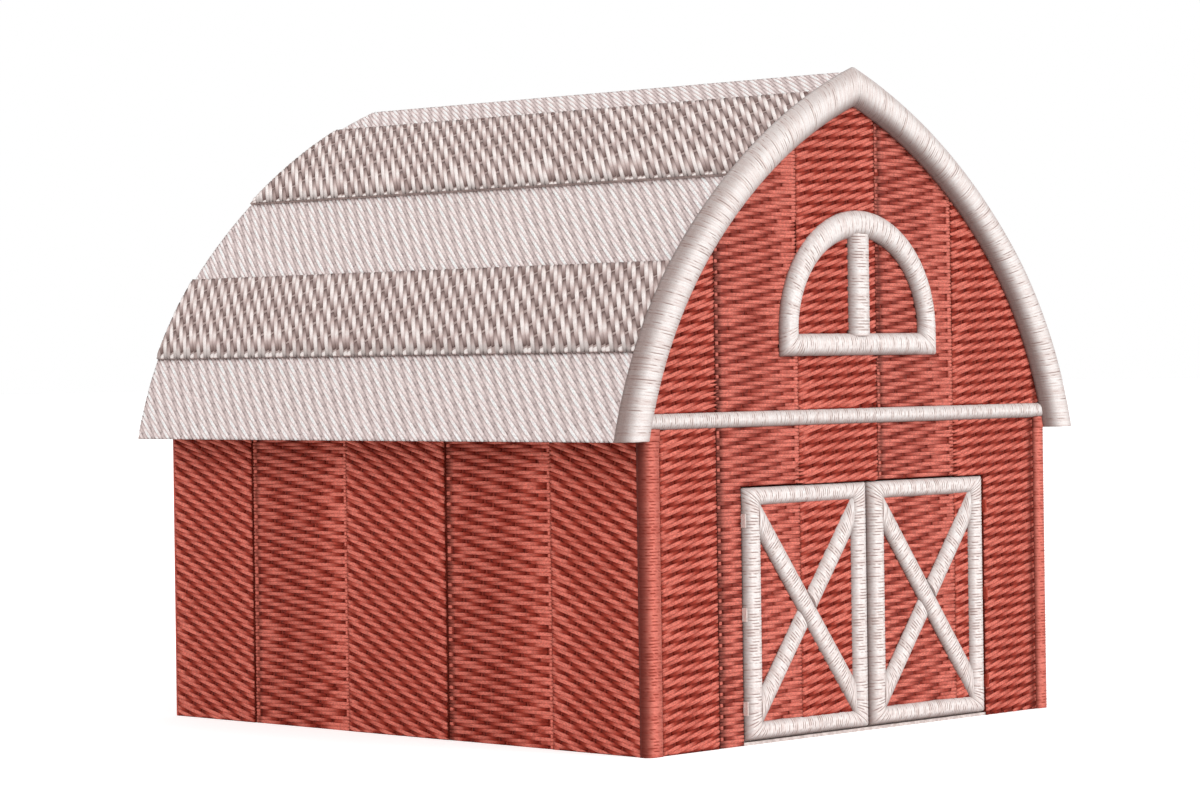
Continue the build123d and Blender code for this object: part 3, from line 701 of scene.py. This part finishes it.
for number, pattern in enumerate(courses, start=1):
    length, thick = pattern["length"], number % 2 == 0
    inset, hang = (deep_inset, grey_hang) if thick else (plain_inset, 0.0)
    bottom = along_arch(roof_arch, slope_at(roof_arch, course_levels[number - 1], plain_inset), inset) - hang
    if thick:
        material, slot, rise, stubs = grey_strips, "grey_shingles", grey_rise, (lower_side,)
        # Painted shade in the valleys, and painted shade rising towards the course's foot.
        paint = dict(toe=0.13 * length, dip=0.3 * length, across=(0.7, 0.95), foot=bottom)
    else:
        material, slot, rise, stubs = pale_strips, "pale_shingles", pale_rise, ()
        # Deep painted shade in the valleys between the strips, and little at their ends.
        paint = dict(toe=0.1 * length, dip=0.26 * length, ends=(0.45, 0.3), across=(0.05, 0.55))
    if number < len(courses):
        top_slope = slope_at(roof_arch, course_levels[number], plain_inset)
    else:
        top_slope = np.arcsin(-roof_arch[1][0] / (roof_arch[1][2] - inset))
    course = rectangle(roof_front, roof_back, bottom, along_arch(roof_arch, top_slope, inset))
    rows = lath_rows(course, base=0.0, stubs=stubs, **pattern)
    coat(roof_boarding, f"roof_course_{number}")
    for side, way in (("left", -1), ("right", 1)):

        def on_roof(a, b, h):
            slope = slope_along(roof_arch, np.maximum(b, bottom), inset)
            x, z = arch_point(roof_arch, slope, inset - h)
            return way * x, np.clip(a, roof_front, roof_back), z

        piece = lath_piece(f"roof_course_{number}_{side}", rows, rise, on_roof, material, **paint)
        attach(piece, "building")

# ------------------------ barge boards
# Heavy white-painted boards that follow the arch over each gable's edge. Those of the front are
# rounded on the face and cut across with fine reeds, and those of the back are plain.

reed_pitch = 0.03
barge_thick, barge_middle = 0.115, 0.2


def domed(width, height, points=13, power=2.1):
    """Outline of a domed board.

    across = width / 2 * cos ** (2 / power) and out = height * sin ** (2 / power), over half a turn.
    """
    turn = np.linspace(np.pi, 0, points)
    cosine, sine = np.cos(turn), np.sin(turn).clip(0)
    across = width / 2 * np.sign(cosine) * np.abs(cosine) ** (2 / power)
    out = height * sine ** (2 / power)
    return np.stack((across, out), axis=1)


def flank_shade(grid, edge):
    """Painted shade on both edges of a moulding, more on the lower and left ones, as if lit from the upper
    right.

    edge holds where the shade begins, as a share of the way from the middle, where it is full, and its most.
    """
    lit, least, softness = np.array((0.75, 0.0, 0.66)), 0.48, 0.9
    begins, full, most = edge
    edge_way = grid[:, -1] - grid[:, 0]
    edge_way /= np.linalg.norm(edge_way, axis=1, keepdims=True)
    across = np.linspace(-1, 1, grid.shape[1])
    towards = np.sign(across) * (edge_way @ lit)[:, None]
    shade = (np.abs(np.sin(np.pi * across / 2)) - begins) / (full - begins)
    return np.clip(shade, 0, 1) ** softness * np.clip(0.5 - 0.5 * towards, least, most)


def reed_relief(reed, in_groove, sunk, points, nicks):
    """How much painted highlight, against painted shade: uneven on the backs, low and broken in the grooves,
    and none in the nicks.
    """
    groove_low, back_uneven, nick_half = 0.62, 0.35, 1.5
    point = np.arange(points)
    broken = 0.1 + 1.2 * scatter(reed * 17.0 + point, 3.0)
    relief = np.where(in_groove, 1 - groove_low * sunk * broken, 1 - back_uneven * scatter(reed, 11.0))
    nick = (points - 1) / 2 + np.round(3 * scatter(reed, 9.0) - 1)
    nicked = (scatter(reed, 7.0) < nicks) & (np.abs(point - nick) < nick_half)
    return np.where(in_groove & nicked, 0.0, relief.clip(0))


def reeded_piece(name, runs, material, groove=0.004, flanks=None, edge=(0.3, 1.0, 0.85), nicks=0.6):
    """Joined mouldings, each with an outline carried along a run and cut across by reeds.

    A run is (length, outline, place). Each reed has three stations, and the outline is drawn in along its
    normals by the groove's depth at the first. The paint has a painted highlight on the reeds' backs and
    painted shade in the grooves, and the edges' painted shade is flank_shade's, or flanks at the outline's
    points. nicks is the share of the grooves with a short stretch near the middle in full painted shade.
    """
    points, sides, caps, tones_and_painted_light, grains, count = [], [], {}, [], [], 0
    for length, outline, place in runs:
        reeds = max(2, round(length / reed_pitch))
        number = np.arange(3 * reeds + 1)[:, None]
        reed, in_groove = number // 3, number % 3 == 0
        run = (reed + np.array((0, 0.3, 0.7))[number % 3]) * length / reeds
        sunk = in_groove * (0.5 + scatter(reed + length))
        across, out = outline.T
        slope = np.stack((np.gradient(across), np.gradient(out)), axis=1)
        normal = np.stack((-slope[:, 1], slope[:, 0]), axis=1) / np.linalg.norm(slope, axis=1, keepdims=True)
        drawn = groove * sunk * np.sin(np.linspace(0, np.pi, len(outline))) ** 0.5
        grid = np.stack(place(run, across - drawn * normal[:, 0], out - drawn * normal[:, 1]), axis=-1)
        points.append(grid.reshape(-1, 3))

        relief = reed_relief(reed, in_groove, sunk, len(outline), nicks)
        shade = flank_shade(grid, edge) if flanks is None else flanks
        tones_and_painted_light.append(rows_of(relief, scatter(reed + length, 5.0), shade, 0.0))
        grains.append(rows_of(across, run))

        index = np.arange(grid.shape[0] * grid.shape[1]).reshape(grid.shape[:2]) + count
        wrapped = np.roll(index, -1, axis=1)
        sides.append(np.stack((index[:-1], index[1:], wrapped[1:], wrapped[:-1]), axis=-1).reshape(-1, 4))
        caps.setdefault(len(outline), []).append(np.stack((index[0], index[-1, ::-1])))
        count += index.size
    faces = [np.concatenate(sides), *(np.concatenate(pairs) for pairs in caps.values())]
    smooth = [True] + [False] * len(caps)
    tone_and_painted_light, grain = np.concatenate(tones_and_painted_light), np.concatenate(grains)
    return mesh_piece(name, np.concatenate(points), faces, smooth, tone_and_painted_light, grain, material)


def barge_run(way):
    """Half an arch: across goes from the outer curve to the inner one at the same slope."""

    def place(run, across, out):
        slope = slope_along(roof_arch, run, barge_middle) + 0 * across
        x0, z0 = arch_point(roof_arch, slope)
        x1, z1 = arch_point(inner_arch, slope)
        share = (across + 1) / 2
        return way * (x0 + (x1 - x0) * share), roof_front - out, z0 + (z1 - z0) * share

    return along_arch(roof_arch, crown_slope, barge_middle), domed(2.0, barge_thick), place


plain_white = mottled("plain_white", 0.6, tint(206, 190, 185), tint(236, 224, 219), 20.0, 4.0)
# Painted highlight, middle colour, painted shade in the grooves, and painted shade on the edges.
white_tints = tint(255, 248, 245), tint(230, 210, 204), tint(134, 106, 99), tint(118, 92, 86)
white_paint = painted_relief("white_paint", *white_tints, grain_depth=0.08, speckle_depth=0.12)
# Where the painted shade on the barge boards' edges begins, where it is full, and its most.
barge_edge = (0.2, 0.8, 0.92)
for side, way in (("left", -1), ("right", 1)):
    run = barge_run(way)
    piece = reeded_piece(f"front_barge_{side}_reeded", [run], white_paint, edge=barge_edge, nicks=0.06)
    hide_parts(f"front_barge_{side}")
    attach(piece, "building")
coat(plain_white, "back_barge_left", "back_barge_right")

# ------------------------ corner posts
# Red posts at the front corners, rounded on the outside and reeded across, and flat boards at
# the back corners.

corner_x, corner_y, corner_round = 3.125, -3.525, 0.085
inner_edge = 0.02
under_belt, barge_gap = 0.01, 0.002
post_groove = 0.003


def corner_run(way):
    """A post from the ground to the eaves, outlined by its front face, a quarter round and its side face."""
    turn = np.linspace(0, np.pi / 2, 7)
    round_x, round_y = corner_x - corner_round, corner_y + corner_round
    x = np.concatenate(((post_face, post_face), np.linspace(post_face + inner_edge, round_x - inner_edge, 5)))
    y = np.concatenate(((corner_back,), corner_y + np.array((0.022, 0.006, 0.002, 0, 0, 0))))
    x = np.concatenate((x, round_x + corner_round * np.sin(turn), (corner_x,)))
    y = np.concatenate((y, round_y - corner_round * np.cos(turn), (corner_back,)))
    return eave, np.stack((x, y), axis=1), lambda run, x, y: (way * x, y + 0 * run, run + 0 * x)


def tongue_run(way):
    """Its front face from the eaves up to the belt, cut off beside the barge board."""
    outline = np.array(((0, 0.03), (0, 0.006), (0.2, 0), (0.4, 0), (0.6, 0), (0.8, 0), (1, 0), (1, 0.03)))

    def place(run, across, out):
        slope = slope_along(inner_arch, run / np.sin(foot_slope), 0.0)
        edge = arch_point(inner_arch, slope)[0] - barge_gap
        x = way * (post_face + across * (edge - post_face))
        return x, corner_y + out + 0 * run, eave + run + 0 * across

    return belt_low + under_belt - eave, outline, place


# Painted highlight, middle colour, painted shade in the grooves, and painted shade.
post_tints = tint(238, 136, 120), tint(196, 92, 78), tint(140, 52, 40), tint(92, 28, 20)
red_posts = painted_relief("red_posts", *post_tints, grain_depth=0.1, speckle_depth=0.15)
# Painted shade at the points of each post's outline, from its inner edge round to its side, and across each
# top from its inner edge outwards.
left_shades = (0.4, 0.4, 0.4, 0.34, 0.24, 0.12, 0.02, 0, 0.15, 0.42, 0.66, 0.82, 0.9, 0.95, 0.95)
left_top_shades = (0.8, 0.5, 0.3, 0.2, 0.1, 0.05, 0, 0)
right_shades = (0.95, 0.9, 0.6, 0.25, 0.05, 0, 0, 0.05, 0.15, 0.3, 0.45, 0.5, 0.5, 0.5, 0.5)
right_top_shades = (0.95, 0.9, 0.6, 0.3, 0.1, 0, 0, 0)
for side, way, shades, top_shades in (
    ("left", -1, left_shades, left_top_shades),
    ("right", 1, right_shades, right_top_shades),
):
    post = reeded_piece(f"corner_post_{side}_reeded", [corner_run(way)], red_posts, post_groove, shades)
    tongue = reeded_piece(f"corner_post_{side}_top", [tongue_run(way)], red_posts, post_groove, top_shades)
    for piece in (post, tongue):
        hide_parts("front_corner_posts")
        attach(piece, "building")
plain_red = mottled("plain_red", 0.6, tint(176, 74, 60), tint(204, 98, 84), 20.0, 4.0)
coat(plain_red, "back_corner_boards")

# ------------------------ belts
# A white moulding across each gable at the loft floor, domed on the face and cut across with the
# same reeds, nailed over the boarding between the barge boards.

belt_half, belt_thick = 3.07, 0.045
# Where the painted shade on the belts' edges begins, where it is full, and its most.
belt_edge = (0.1, 1.0, 0.85)


def straight_run(start, end, width, thickness, face, out_way=-1, cuts=((0, 0), (0, 0)), fan=0.3):
    """A board from start to end, points (x, z), in a plane across Y.

    Each cut is (inset, lean): the board begins at inset + lean * across, and the reeds take up that lean over
    the fan.
    """
    start, end = np.array(start, float), np.array(end, float)
    whole = np.linalg.norm(end - start)
    along = (end - start) / whole
    across_way = np.array((-along[1], along[0]))
    length = whole - cuts[0][0] - cuts[1][0]

    def place(run, across, out):
        near = np.clip(1 - run / fan, 0, 1) ** 2
        far = np.clip(1 - (length - run) / fan, 0, 1) ** 2
        at = cuts[0][0] + run + across * (cuts[0][1] * near - cuts[1][1] * far)
        x = start[0] + at * along[0] + across * across_way[0]
        z = start[1] + at * along[1] + across * across_way[1]
        return x, face + out_way * out + 0 * x, z

    return length, domed(width, thickness), place


belt_middle = (belt_low + belt_high) / 2
belt_ends = (-belt_half, belt_middle), (belt_half, belt_middle)
for name, way in (("front_belt_reeded", -1), ("back_belt_reeded", 1)):
    run = straight_run(*belt_ends, belt_high - belt_low, belt_thick, way * wall_length_half, way)
    piece = reeded_piece(name, [run], white_paint, edge=belt_edge, nicks=0.3)
    if way < 0:
        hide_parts("gable_belts")
    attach(piece, "building")

# ------------------------ loft hatch
# A half-round boarded opening with a white reeded arch, sill and middle post, mitred at the
# lower corners. Its boards carry the same laths as the gable.

hatch_outer, hatch_trim, hatch_low, sill_high = 1.215, 0.275, 3.79, 0.225
hatch_thick = 0.075
hatch_post_wide, hatch_post_thick, hatch_post_top, hatch_post_lap = 0.33, 0.068, 5.02, 0.03
boards_radius, boards_top, boards_lift = 1.05, 5.3, 0.05
trim_face = -wall_length_half

panel_level = dict(front_level, stubs=())
hatch_inside = half_round(boards_radius, hatch_foot + boards_lift)
hatch_rows = []
for low, high, level, tight in front_bays:
    if high > hatch_x - boards_radius and low < hatch_x + boards_radius:
        planes = np.vstack((rectangle(low, high, hatch_foot, boards_top), hatch_inside))
        pattern = dict(panel_level, base=level_face if low > 0 else plank_face) if level else front_slant
        hatch_rows.append(lath_rows(planes, tight=tight, **pattern))


def on_front(a, b, h):
    """The face of the front boards."""
    return a, -wall_length_half - h, b


piece = lath_piece(
    "hatch_laths", np.concatenate(hatch_rows), lath_rise, on_front, red_laths, front_wide, level_sheen=front_level_sheen
)
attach(piece, "building")


def hatch_arch_run():
    """Short legs and a half circle. Across runs inwards, and the reeds lean to the mitres at the feet."""
    fan = 0.4
    middle = hatch_outer - hatch_trim / 2
    leg = hatch_spring - hatch_low - sill_high / 2
    length = 2 * leg + np.pi * middle

    def place(run, across, out):
        radius = middle - across
        turn = np.clip((run - leg) / middle, 0, np.pi) + 0 * across
        below = np.maximum(leg - run, 0) + np.maximum(run - (length - leg), 0)
        near = np.clip(1 - run / fan, 0, 1) ** 2 + np.clip(1 - (length - run) / fan, 0, 1) ** 2
        x = hatch_x - radius * np.cos(turn)
        z = hatch_spring + radius * np.sin(turn) - below + near * across * sill_high / hatch_trim
        return x, trim_face - out + 0 * x, z

    return length, domed(hatch_trim, hatch_thick), place


sill_cut = (hatch_trim / 2, -hatch_trim / sill_high)
sill_ends = [(hatch_x + way * hatch_outer, hatch_low + sill_high / 2) for way in (1, -1)]
sill = straight_run(*sill_ends, sill_high, hatch_thick, trim_face, cuts=(sill_cut, sill_cut))
post_ends = (hatch_x, hatch_low + sill_high - hatch_post_lap), (hatch_x, hatch_post_top)
post = straight_run(*post_ends, hatch_post_wide, hatch_post_thick, trim_face)
for name, run, node, nicks in (
    ("hatch_arch_reeded", hatch_arch_run(), "hatch_arch", 0.15),
    ("hatch_sill_reeded", sill, "hatch_sill", 0.3),
    ("hatch_post_reeded", post, "hatch_post", 0.6),
):
    piece = reeded_piece(name, [run], white_paint, nicks=nicks)
    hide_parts(node)
    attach(piece, "building")

# ------------------------ doors
# Two boarded leaves on butt hinges. Each has laths on its panel, a white reeded frame mitred
# at the corners, a weather bar under the lower rail, and two crossed braces, the falling one over
# the rising one.

door_low, door_high = 0.044, 2.514
stile, rail = 0.27, 0.18
under_frame, door_lath_rise = 0.02, 0.01
frame_back, frame_thick = -3.47, 0.075
bar_high, bar_wide, bar_thick, bar_face, bar_inset = 0.045, 0.018, 0.02, -3.452, 0.01
brace_wide, brace_thick, brace_tuck, brace_fan = 0.225, 0.038, 0.05, 0.45
coat(plain_white, "door_threshold")
leaves = (("left", -1.732, 0.143, front_joints[1]), ("right", 0.157, 2.032, front_joints[3]))
for side, x0, x1, joint in leaves:
    in_left, in_right, in_low, in_high = x0 + stile, x1 - stile, door_low + rail, door_high - rail
    panel_low, panel_high = in_low - under_frame, in_high + under_frame
    level_part = rectangle(in_left - under_frame, joint, panel_low, panel_high)
    slant_part = rectangle(joint, in_right + under_frame, panel_low, panel_high)
    level_rows = lath_rows(level_part, tight=right_side, **panel_level)
    slant_rows = lath_rows(slant_part, tight=left_side, **front_slant)
    rows = np.concatenate((level_rows, slant_rows))
    laths = lath_piece(f"{side}_door_laths", rows, door_lath_rise, on_front, red_laths, level_sheen=front_level_sheen)

    runs = []
    for x, way in ((x0 + stile / 2, 1), (x1 - stile / 2, -1)):
        cut = (rail / 2, -way * rail / stile)
        ends = (x, door_low), (x, door_high)
        runs.append(straight_run(*ends, stile, frame_thick, frame_back, cuts=(cut, cut)))
    for z, way in ((door_low + rail / 2, -1), (door_high - rail / 2, 1)):
        cut = (stile / 2, -way * stile / rail)
        runs.append(straight_run((x0, z), (x1, z), rail, frame_thick, frame_back, cuts=(cut, cut)))
    ends = (x0 + bar_inset, bar_high), (x1 - bar_inset, bar_high)
    runs.append(straight_run(*ends, bar_wide, bar_thick, bar_face))
    trim = reeded_piece(f"{side}_door_frame_reeded", runs, white_paint)
    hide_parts(f"{side}_door_frame")

    centre = np.array(((in_left + in_right) / 2, (in_low + in_high) / 2))
    across_panel = np.hypot(in_right - in_left, in_high - in_low)
    tilt = np.arctan2(in_high - in_low, in_right - in_left) - np.arcsin(brace_wide / across_panel)
    half = ((in_right - in_left) / 2 + brace_tuck) / np.cos(tilt)
    fall, climb = np.array((np.cos(tilt), -np.sin(tilt))), np.array((np.cos(tilt), np.sin(tilt)))
    upright, beside = np.tan(tilt), 1 / np.tan(2 * tilt)
    clear = brace_wide / 2 / np.sin(2 * tilt)
    runs = []
    for way, start, end, start_lean, end_lean in (
        (fall, -half, half, -upright, upright),
        (climb, -half, -clear, upright, beside),
        (climb, clear, half, -beside, -upright),
    ):
        ends, cuts = (centre + start * way, centre + end * way), ((0, start_lean), (0, end_lean))
        runs.append(straight_run(*ends, brace_wide, brace_thick, trim_face, cuts=cuts, fan=brace_fan))
    braces = reeded_piece(f"{side}_door_braces_reeded", runs, white_paint)
    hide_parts(f"{side}_door_braces")
    for piece in (laths, trim, braces):
        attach(piece, f"{side}_door")

# ------------------------ hinges
# Small steel butt hinges in the joint beside each leaf, painted over: the left-hand ones white with
# the trim, and the right-hand ones red with the wall.

iron, add, feed = new_finish("hinge_iron", 0.45)
place = add("TexCoord", {})["Object"]
wear = between(add, noise(add, place, 60.0, 4.0), 0.4, 0.7)
# The white is a little grey: painted shade, to match the painted shade on the stiles' left edges.
white_iron = blend_of(add, wear, tint(228, 214, 208), tint(204, 188, 182))
red_iron = blend_of(add, wear, tint(190, 80, 64), tint(150, 52, 40))
right_hand = work(add, "GREATER_THAN", add("SeparateXYZ", {0: place})[0], 0.0)
feed("Base Color", blend_of(add, right_hand, white_iron, red_iron))
coat(iron, "left_door_hinges", "right_door_hinges", "door_post_hinges")

# ------------------------ studio
# A plain pale floor and background, even light from all round, a soft key from the front and a
# low one from the left. The camera stands far off the front left corner.

floor_half = 400
floor_glow = ambient = 0.5

floor = bpy.data.meshes.new("floor")
corners = [(x * floor_half, y * floor_half, 0) for x, y in ((-1, -1), (1, -1), (1, 1), (-1, 1))]
floor.from_pydata(corners, [], [(0, 1, 2, 3)])
floor = bpy.data.objects.new("floor", floor)
bpy.context.scene.collection.objects.link(floor)
floor_paint, add, feed = new_finish("floor_paint", 0.9)
path = add("LightPath", {})
seen = work(add, "MAXIMUM", path["Is Camera Ray"], path["Is Glossy Ray"])
seen = work(add, "MAXIMUM", seen, path["Is Transmission Ray"])
feed("Emission Strength", work(add, "MULTIPLY", seen, floor_glow))
floor_shader = floor_paint.node_tree.nodes["Principled BSDF"]
floor_shader.inputs["Base Color"].default_value = (0.85, 0.85, 0.85, 1)
floor_shader.inputs["Emission Color"].default_value = (1, 1, 1, 1)
floor.data.materials.append(floor_paint)

world = bpy.data.worlds.new("studio")
world.use_nodes = True
bpy.context.scene.world = world
add = node_adder(world.node_tree)
path = add("LightPath", {})
clear_seen = work(add, "MAXIMUM", path["Is Glossy Ray"], path["Is Transmission Ray"])
seen = work(add, "MAXIMUM", path["Is Camera Ray"], clear_seen)
sky = world.node_tree.nodes["Background"]
sky.inputs["Color"].default_value = (1, 1, 1, 1)
world.node_tree.links.new(ramp(add, seen, 0.0, 1.0, ambient), sky.inputs["Strength"])


def soft_sun(name, towards, strength, spread):
    """A distant lamp that shines from a direction, with soft shadows."""
    lamp = bpy.data.lights.new(name, "SUN")
    lamp.energy = strength * np.pi
    lamp.angle = np.radians(spread)
    sun = bpy.data.objects.new(name, lamp)
    bpy.context.scene.collection.objects.link(sun)
    sun.rotation_euler = Vector(towards).to_track_quat("Z", "Y").to_euler()


soft_sun("key", (0.30, -0.78, 0.55), 0.51, 35)
soft_sun("fill", (-0.83, -0.05, 0.55), 0.38, 60)

view_turn, view_roll = np.radians((-45.97, -0.8))
view_distance, view_height = 38.984, 3.768
forward = np.array((-np.sin(view_turn), np.cos(view_turn), 0))
level_right = np.array((np.cos(view_turn), np.sin(view_turn), 0))
view_right = level_right * np.cos(view_roll) + np.array((0, 0, np.sin(view_roll)))
view_up = -level_right * np.sin(view_roll) + np.array((0, 0, np.cos(view_roll)))
stand = -forward * view_distance + np.array((0, 0, view_height))
pose = np.eye(4)
pose[:3] = np.stack((view_right, view_up, -forward, stand), axis=1)
lens = bpy.data.cameras.new("camera")
lens.lens, lens.sensor_width = 108.7, 36
lens.shift_x, lens.shift_y = -0.00436, -0.03235
lens.clip_end = 900
camera = bpy.data.objects.new("camera", lens)
camera.matrix_world = Matrix(pose.tolist())
bpy.context.scene.collection.objects.link(camera)
bpy.context.scene.camera = camera
bpy.context.scene.view_settings.view_transform = "Standard"
